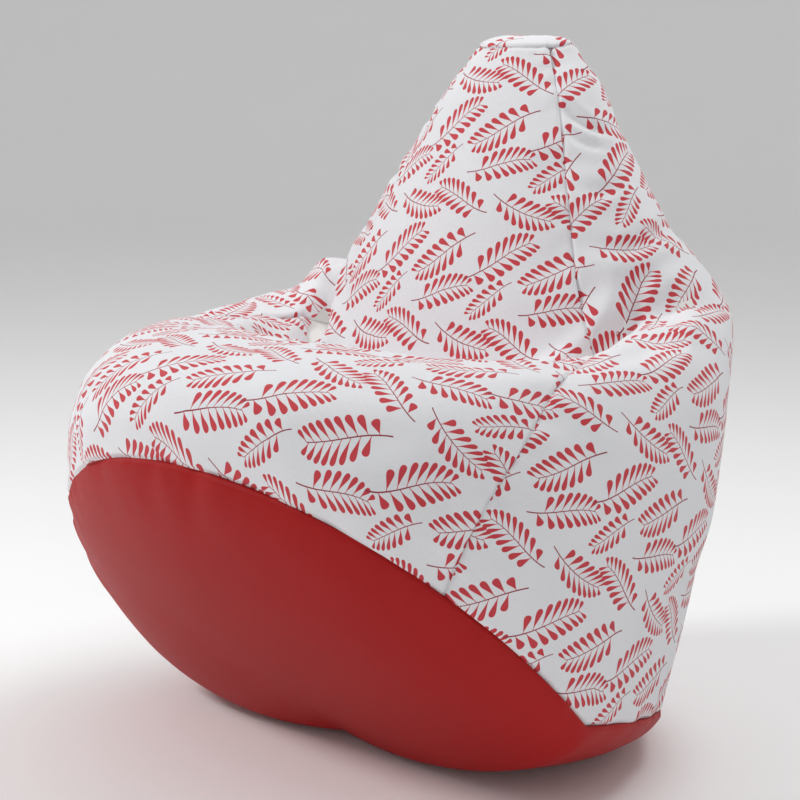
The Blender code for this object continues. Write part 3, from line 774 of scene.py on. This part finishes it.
class Nodes:
    """A short way to write a node tree."""

    def __init__(self, tree):
        self.tree = tree

    def add(self, kind, **settings):
        node = self.tree.nodes.new(kind)
        for name, value in settings.items():
            setattr(node, name, value)
        return node

    def link(self, value, socket):
        if isinstance(value, bpy.types.NodeSocket):
            self.tree.links.new(value, socket)
        else:
            socket.default_value = value

    def math(self, operation, *values):
        node = self.add("ShaderNodeMath", operation=operation)
        for value, socket in zip(values, node.inputs):
            self.link(value, socket)
        return node.outputs[0]

    def step(self, value, start, end):
        """Nothing below start, one above end, and smooth between."""
        node = self.add("ShaderNodeMapRange", interpolation_type="SMOOTHSTEP")
        for number, part in enumerate((value, start, end)):
            self.link(part, node.inputs[number])
        return node.outputs["Result"]

    def mix(self, share, first, second):
        node = self.add("ShaderNodeMix", data_type="RGBA")
        for place, value in ((0, share), (6, first), (7, second)):
            self.link(value, node.inputs[place])
        return node.outputs[2]

    def noise(self, vector, scale, detail=2.0):
        node = self.add("ShaderNodeTexNoise")
        self.link(vector, node.inputs["Vector"])
        node.inputs["Scale"].default_value = scale
        node.inputs["Detail"].default_value = detail
        return node.outputs["Fac"]

    def bump(self, height, distance):
        node = self.add("ShaderNodeBump")
        node.inputs["Distance"].default_value = distance
        self.link(height, node.inputs["Height"])
        return node.outputs["Normal"]


# The print repeats over this width and height of cloth. Each row of repeats lies this share of a width along.
TILE_WIDTH = 0.188
TILE_HEIGHT = 0.197
ROW_SHIFT = 0.26
# Each sprig: its middle (mm), the way its tip points (degrees), its length (mm), its bend and sway, and its
# pairs of leaflets.
SPRIGS = (
    ((27, 129), 216, 110, 0.010, 0.040, 9),
    ((121, 129), 36, 112, -0.010, 0.060, 9),
    ((36, 71), 18, 101, 0.015, 0.055, 9),
    ((122, 71), 226, 76, -0.015, 0.030, 8),
    ((-13, 14), 160, 98, 0.000, -0.055, 9),
    ((89, 9), -14, 98, -0.080, 0.000, 9),
)
LEAF_REACH = 0.265
LEAF_CROWDING = 1.22
FIRST_LEAF = 0.10
LAST_LEAF = 1.03


def sprig_group():
    """Where on the cloth one fern sprig's leaflets and stem lie."""
    tree = bpy.data.node_groups.new("sprig", "ShaderNodeTree")
    make = tree.interface.new_socket
    make("Cloth", in_out="INPUT", socket_type="NodeSocketVector")
    for name in SPRIG_INPUTS:
        make(name, in_out="INPUT", socket_type="NodeSocketFloat")
    for name in ("Leaf", "Stem"):
        make(name, in_out="OUTPUT", socket_type="NodeSocketFloat")
    n = Nodes(tree)
    given = n.add("NodeGroupInput").outputs
    along, aside = sprig_place(n, given)
    result = n.add("NodeGroupOutput")
    n.link(leaflets(n, along, aside, given["Pairs"]), result.inputs["Leaf"])
    n.link(sprig_stem(n, along, aside), result.inputs["Stem"])
    return tree


SPRIG_INPUTS = ("Across", "Up", "Turn", "Length", "Bend", "Sway", "Pairs")


def sprig_place(n, given):
    """Shares of the sprig's length: along it from base to tip, and aside from its curved stem."""
    split = n.add("ShaderNodeSeparateXYZ")
    n.link(given["Cloth"], split.inputs[0])
    rows = n.math("DIVIDE", n.math("SUBTRACT", split.outputs["Y"], given["Up"]), TILE_HEIGHT)
    row = n.math("ROUND", rows)
    shifted = n.math("DIVIDE", n.math("SUBTRACT", split.outputs["X"], given["Across"]), TILE_WIDTH)
    columns = n.math("SUBTRACT", shifted, n.math("MULTIPLY", row, ROW_SHIFT))
    place = n.add("ShaderNodeCombineXYZ")
    past_column = n.math("SUBTRACT", columns, n.math("ROUND", columns))
    n.link(n.math("MULTIPLY", past_column, TILE_WIDTH), place.inputs["X"])
    n.link(n.math("MULTIPLY", n.math("SUBTRACT", rows, row), TILE_HEIGHT), place.inputs["Y"])
    turned = n.add("ShaderNodeVectorRotate", rotation_type="Z_AXIS")
    n.link(place.outputs[0], turned.inputs["Vector"])
    n.link(n.math("MULTIPLY", given["Turn"], -1.0), turned.inputs["Angle"])
    shares = n.add("ShaderNodeSeparateXYZ")
    n.link(turned.outputs[0], shares.inputs[0])
    middle = n.math("DIVIDE", shares.outputs["X"], given["Length"])
    square = n.math("MULTIPLY", middle, middle)
    sag = n.math("MULTIPLY", n.math("MULTIPLY_ADD", square, 4.0, -0.5), given["Bend"])
    wave = n.math("MULTIPLY", middle, n.math("MULTIPLY_ADD", square, 8.0, -2.0))
    curve = n.math("ADD", sag, n.math("MULTIPLY", wave, given["Sway"]))
    aside = n.math("ADD", n.math("DIVIDE", shares.outputs["Y"], given["Length"]), curve)
    return n.math("ADD", middle, 0.5), aside


def leaflets(n, along, aside, pairs):
    """Teardrop leaflets in pairs, slanting forwards, shorter and closer together towards the tip."""
    away = n.math("ABSOLUTE", aside)
    offset = n.math("MULTIPLY", n.math("SIGN", aside), 0.15)
    slant = n.math("MULTIPLY_ADD", along, 0.62, 0.30)
    steep = n.math("SQRT", n.math("MULTIPLY_ADD", slant, slant, 1.0))
    foot = n.math("MAXIMUM", n.math("SUBTRACT", along, n.math("MULTIPLY", away, slant)), 0.0)
    counted = n.math("MULTIPLY_ADD", n.math("POWER", foot, LEAF_CROWDING), pairs, offset)
    middle = n.math("SUBTRACT", n.math("ADD", n.math("FLOOR", counted), 0.5), offset)
    place = n.math("POWER", n.math("MAXIMUM", n.math("DIVIDE", middle, pairs), 0.001), 1 / LEAF_CROWDING)
    ahead = n.math("SUBTRACT", along, place)
    run = n.math("DIVIDE", n.math("MULTIPLY_ADD", ahead, slant, away), steep)
    off_axis = n.math("SUBTRACT", n.math("MULTIPLY", away, slant), ahead)
    beside = n.math("ABSOLUTE", n.math("DIVIDE", off_axis, steep))
    rise = n.math("POWER", n.math("ADD", place, 0.02), 0.55)
    fall = n.math("POWER", n.math("MAXIMUM", n.math("SUBTRACT", 1.06, place), 0.0), 0.6)
    length = n.math("MULTIPLY", n.math("MULTIPLY", rise, fall), LEAF_REACH / 0.49)
    run = n.math("MINIMUM", n.math("DIVIDE", run, length), 1.0)
    blunt = n.math("SQRT", n.math("SUBTRACT", 1.0, n.math("POWER", run, 5.0)))
    body = n.math("MULTIPLY", n.math("POWER", run, 1.35), blunt)
    widest = n.math("DIVIDE", 0.60 / LEAF_CROWDING, n.math("MULTIPLY", steep, pairs))
    widest = n.math("MULTIPLY", widest, n.math("POWER", place, 1 - LEAF_CROWDING))
    stalk = n.math("MULTIPLY", n.math("LESS_THAN", run, 0.6), 0.0045)
    shape = n.math("MAXIMUM", n.math("MULTIPLY", body, widest), stalk)
    mask = n.step(n.math("SUBTRACT", shape, beside), -0.001, 0.0015)
    past_first = n.math("GREATER_THAN", place, FIRST_LEAF)
    inside = n.math("MULTIPLY", past_first, n.math("LESS_THAN", place, LAST_LEAF))
    return n.math("MULTIPLY", mask, inside)


def sprig_stem(n, along, aside):
    """A thin curved line, thinner towards the tip and bare at the base."""
    thin = n.math("MULTIPLY_ADD", along, -0.0045, 0.0085)
    mask = n.step(n.math("SUBTRACT", thin, n.math("ABSOLUTE", aside)), -0.001, 0.001)
    inside = n.math("MULTIPLY", n.math("GREATER_THAN", along, -0.03), n.math("LESS_THAN", along, 0.97))
    return n.math("MULTIPLY", mask, inside)


def new_material(name):
    material = bpy.data.materials.new(name)
    material.use_nodes = True
    n = Nodes(material.node_tree)
    return material, n, material.node_tree.nodes["Principled BSDF"]


def cloth_place(n):
    return n.add("ShaderNodeAttribute", attribute_name="cut").outputs["Vector"]


def weave(n, cloth, pitch):
    """The height of a plain weave: threads over and under each other."""
    split = n.add("ShaderNodeSeparateXYZ")
    n.link(cloth, split.inputs[0])
    turn = math.pi / pitch
    warp = n.math("SINE", n.math("MULTIPLY", split.outputs["X"], turn))
    weft = n.math("SINE", n.math("MULTIPLY", split.outputs["Y"], turn))
    return n.math("MULTIPLY", warp, weft)


def printed_cloth():
    material, n, shader = new_material("printed_cloth")
    cloth = cloth_place(n)
    group = sprig_group()
    leaf, stem = None, None
    for (across, up), turn, length, bend, sway, pairs in SPRIGS:
        sprig = n.add("ShaderNodeGroup", node_tree=group)
        n.link(cloth, sprig.inputs["Cloth"])
        values = (across * MM, up * MM, math.radians(turn), length * MM, bend, sway, float(pairs))
        for name, value in zip(SPRIG_INPUTS, values):
            sprig.inputs[name].default_value = value
        leaf = sprig.outputs["Leaf"] if leaf is None else n.math("MAXIMUM", leaf, sprig.outputs["Leaf"])
        stem = sprig.outputs["Stem"] if stem is None else n.math("MAXIMUM", stem, sprig.outputs["Stem"])
    fleck = n.noise(cloth, 900.0, 3.0)
    patch = n.noise(cloth, 9.0, 2.0)
    ground = n.mix(patch, (0.76, 0.77, 0.80, 1), (0.82, 0.82, 0.84, 1))
    ink = n.mix(fleck, (0.52, 0.030, 0.042, 1), (0.62, 0.050, 0.066, 1))
    line = n.mix(fleck, (0.25, 0.018, 0.030, 1), (0.33, 0.030, 0.045, 1))
    colour = n.mix(stem, n.mix(leaf, ground, ink), line)
    n.link(colour, shader.inputs["Base Color"])
    n.link(n.math("MULTIPLY_ADD", fleck, 0.12, 0.74), shader.inputs["Roughness"])
    shader.inputs["Sheen Weight"].default_value = 0.12
    shader.inputs["Sheen Roughness"].default_value = 0.5
    height = n.math("ADD", weave(n, cloth, 0.55 * MM), n.math("MULTIPLY", fleck, 0.6))
    n.link(n.bump(height, 0.06 * MM), shader.inputs["Normal"])
    return material


def red_cloth():
    material, n, shader = new_material("red_cloth")
    cloth = cloth_place(n)
    fleck = n.noise(cloth, 700.0, 3.0)
    patch = n.noise(cloth, 7.0, 3.0)
    low = n.mix(patch, (0.30, 0.0016, 0.0020, 1), (0.36, 0.0022, 0.0026, 1))
    colour = n.mix(fleck, low, (0.42, 0.0030, 0.0036, 1))
    n.link(colour, shader.inputs["Base Color"])
    n.link(n.math("MULTIPLY_ADD", fleck, 0.10, 0.44), shader.inputs["Roughness"])
    shader.inputs["Specular IOR Level"].default_value = 0.22
    height = n.math("ADD", weave(n, cloth, 0.40 * MM), n.math("MULTIPLY", fleck, 0.5))
    n.link(n.bump(height, 0.05 * MM), shader.inputs["Normal"])
    return material


def liner_cloth():
    material, n, shader = new_material("liner_cloth")
    cloth = cloth_place(n)
    fleck = n.noise(cloth, 800.0, 3.0)
    n.link(n.mix(fleck, (0.74, 0.74, 0.72, 1), (0.84, 0.84, 0.82, 1)), shader.inputs["Base Color"])
    n.link(n.math("MULTIPLY_ADD", fleck, 0.15, 0.70), shader.inputs["Roughness"])
    n.link(n.bump(weave(n, cloth, 0.5 * MM), 0.05 * MM), shader.inputs["Normal"])
    return material


def object_place(n):
    return n.add("ShaderNodeTexCoord").outputs["Object"]


def beads():
    material, n, shader = new_material("beads")
    cells = n.add("ShaderNodeTexVoronoi")
    n.link(object_place(n), cells.inputs["Vector"])
    cells.inputs["Scale"].default_value = 260.0
    ball = n.math("SUBTRACT", 1.0, n.math("MULTIPLY", cells.outputs["Distance"], cells.outputs["Distance"]))
    # Painted shade: each bead is lighter at its middle and darker towards its rim and the gaps between beads.
    painted_bead_shade = n.step(cells.outputs["Distance"], 0.35, 0.75)
    n.link(n.mix(painted_bead_shade, (0.88, 0.88, 0.87, 1), (0.62, 0.62, 0.62, 1)), shader.inputs["Base Color"])
    shader.inputs["Roughness"].default_value = 0.7
    n.link(n.bump(ball, 1.6 * MM), shader.inputs["Normal"])
    return material


TAPE_RIBS = 4200.0


def zip_tape():
    material, n, shader = new_material("zip_tape")
    place = object_place(n)
    split = n.add("ShaderNodeSeparateXYZ")
    n.link(place, split.inputs[0])
    chevron = n.math("ADD", n.math("ABSOLUTE", split.outputs["X"]), split.outputs["Z"])
    rib = n.math("SINE", n.math("MULTIPLY", chevron, TAPE_RIBS))
    fleck = n.noise(place, 1500.0, 3.0)
    n.link(n.mix(fleck, (0.70, 0.68, 0.68, 1), (0.82, 0.81, 0.80, 1)), shader.inputs["Base Color"])
    n.link(n.math("MULTIPLY_ADD", fleck, 0.15, 0.72), shader.inputs["Roughness"])
    n.link(n.bump(n.math("ADD", rib, fleck), 0.08 * MM), shader.inputs["Normal"])
    return material


def zip_nylon():
    material, n, shader = new_material("zip_nylon")
    place = object_place(n)
    fleck = n.noise(place, 900.0, 2.0)
    n.link(n.mix(fleck, (0.66, 0.65, 0.64, 1), (0.80, 0.79, 0.78, 1)), shader.inputs["Base Color"])
    n.link(n.math("MULTIPLY_ADD", fleck, 0.20, 0.28), shader.inputs["Roughness"])
    n.link(n.bump(fleck, 0.02 * MM), shader.inputs["Normal"])
    return material


def zip_metal():
    """Nickel plating: fine brushing, with duller spots of wear."""
    material, n, shader = new_material("zip_metal")
    place = object_place(n)
    wear = n.noise(place, 260.0, 4.0)
    fine = n.noise(place, 2600.0, 2.0)
    n.link(n.mix(wear, (0.52, 0.50, 0.46, 1), (0.72, 0.71, 0.68, 1)), shader.inputs["Base Color"])
    shader.inputs["Metallic"].default_value = 1.0
    n.link(n.math("MULTIPLY_ADD", wear, 0.28, 0.14), shader.inputs["Roughness"])
    n.link(n.bump(fine, 0.01 * MM), shader.inputs["Normal"])
    return material


def thread():
    material, n, shader = new_material("thread")
    place = object_place(n)
    twist = n.math("SINE", n.math("MULTIPLY", n.noise(place, 1200.0, 1.0), 30.0))
    n.link(n.mix(twist, (0.74, 0.74, 0.75, 1), (0.88, 0.88, 0.88, 1)), shader.inputs["Base Color"])
    shader.inputs["Roughness"].default_value = 0.6
    n.link(n.bump(twist, 0.03 * MM), shader.inputs["Normal"])
    return material


def dress_node(node, material):
    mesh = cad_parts[node].data
    mesh.materials.clear()
    mesh.materials.append(material)
    mesh.shade_smooth()
    mesh.set_sharp_from_angle(angle=math.radians(35))


# The chair ----------------------------------------------------------------------------------------------


def make_chair():
    printed, red, liner_look = printed_cloth(), red_cloth(), liner_cloth()
    tape, nylon, metal = zip_tape(), zip_nylon(), zip_metal()
    skin = Skin(COVER_GRID)
    relief = Relief(skin)
    cover = layer_faces(skin, relief, 0.0, 0.0, 0.0, 1.0)
    sheath("cover_", skin, cover, (printed, red), COVER_CLOTH)
    inner = Skin(LINER_GRID)
    inner_relief = Relief(inner)
    liner = layer_faces(inner, inner_relief, LINER_DEPTH, LINER_GIVE, ZIP_RECESS, 0.0)
    sheath("liner_", inner, liner, (liner_look, liner_look), LINER_CLOTH)
    fill_recess = 2 * ZIP_RECESS - 2 * MM
    fill = layer_faces(inner, inner_relief, FILL_DEPTH, FILL_GIVE, fill_recess, 0.0)
    filling(fill, beads())
    for side, sign in (("left", -1), ("right", 1)):
        zip_coil(side, sign, nylon)
        dress_node(f"zip_tape_{side}", tape)
        dress_node(f"liner_zip_tape_{side}", tape)
        dress_node(f"liner_zip_chain_{side}", nylon)
        dress_node(f"zip_top_stop_{side}", metal)
        dress_node(f"liner_zip_top_stop_{side}", metal)
    for node in ("zip_bottom_stop", "zip_slider", "zip_pull", "liner_zip_bottom_stop", "liner_zip_slider"):
        dress_node(node, metal)
    zip_stitching(thread())


# Camera, floor and light --------------------------------------------------------------------------------

LOOK_AT = Vector((-0.06, 0.0571, 0.472))
AZIMUTH = math.radians(42)
ELEVATION = math.radians(10.5)
DISTANCE = 3.2
LENS = 96.9


def make_camera():
    data = bpy.data.cameras.new("camera")
    data.lens = LENS
    camera = in_scene("camera", data)
    level = math.cos(ELEVATION)
    back = Vector((math.sin(AZIMUTH) * level, -math.cos(AZIMUTH) * level, math.sin(ELEVATION)))
    camera.location = LOOK_AT + back * DISTANCE
    camera.rotation_mode = "QUATERNION"
    camera.rotation_quaternion = (-back).to_track_quat("-Z", "Y")
    bpy.context.scene.camera = camera


def area_light(name, place, size, power):
    data = bpy.data.lights.new(name, "AREA")
    data.shape = "DISK"
    data.size = size
    data.energy = power
    light = in_scene(name, data)
    light.location = place
    light.rotation_mode = "QUATERNION"
    light.rotation_quaternion = (LOOK_AT - Vector(place)).to_track_quat("-Z", "Y")


def backdrop(material):
    """A pale floor that curves up into a pale wall all round, so that no edge shows from any side."""
    flat, bend, wall, sides = 7.0, 3.0, 4.0, 72
    turns = np.linspace(0, math.pi / 2, 13)
    radii = np.concatenate([[1.0, 3.0, 5.0], flat + bend * np.sin(turns), [flat + bend]])
    heights = np.concatenate([[0.0, 0.0, 0.0], bend * (1 - np.cos(turns)), [bend + wall]])
    around = np.linspace(0, 2 * math.pi, sides, endpoint=False)
    rings = np.stack([
        np.outer(radii, np.cos(around)),
        np.outer(radii, np.sin(around)),
        np.repeat(heights[:, None], sides, axis=1),
    ], axis=-1)
    points = np.concatenate([rings.reshape(-1, 3), np.zeros((1, 3))])
    first = np.arange(sides)
    after = (first + 1) % sides
    faces = np.stack([first, after, np.full(sides, len(points) - 1)], axis=1).tolist()
    for row in range(len(radii) - 1):
        low, high = row * sides, (row + 1) * sides
        faces += np.stack([low + first, high + first, high + after, low + after], axis=1).tolist()
    floor = new_object("floor", points, faces, material)


def make_studio():
    material, n, shader = new_material("floor")
    grain = n.noise(object_place(n), 3.0, 2.0)
    n.link(n.mix(grain, (0.95, 0.95, 0.95, 1), (0.97, 0.97, 0.97, 1)), shader.inputs["Base Color"])
    shader.inputs["Roughness"].default_value = 0.9
    backdrop(material)
    world = bpy.data.worlds.new("studio")
    world.use_nodes = True
    world.node_tree.nodes["Background"].inputs["Color"].default_value = (1.0, 1.0, 1.0, 1)
    world.node_tree.nodes["Background"].inputs["Strength"].default_value = 0.50
    bpy.context.scene.world = world
    bpy.context.scene.view_settings.view_transform = "Standard"
    area_light("key", (-2.6, -2.3, 2.9), 1.0, 78)
    area_light("top", (0.6, 1.2, 3.2), 1.6, 34)
    area_light("fill", (3.0, -2.6, 0.9), 1.6, 7)


make_chair()
make_camera()
make_studio()
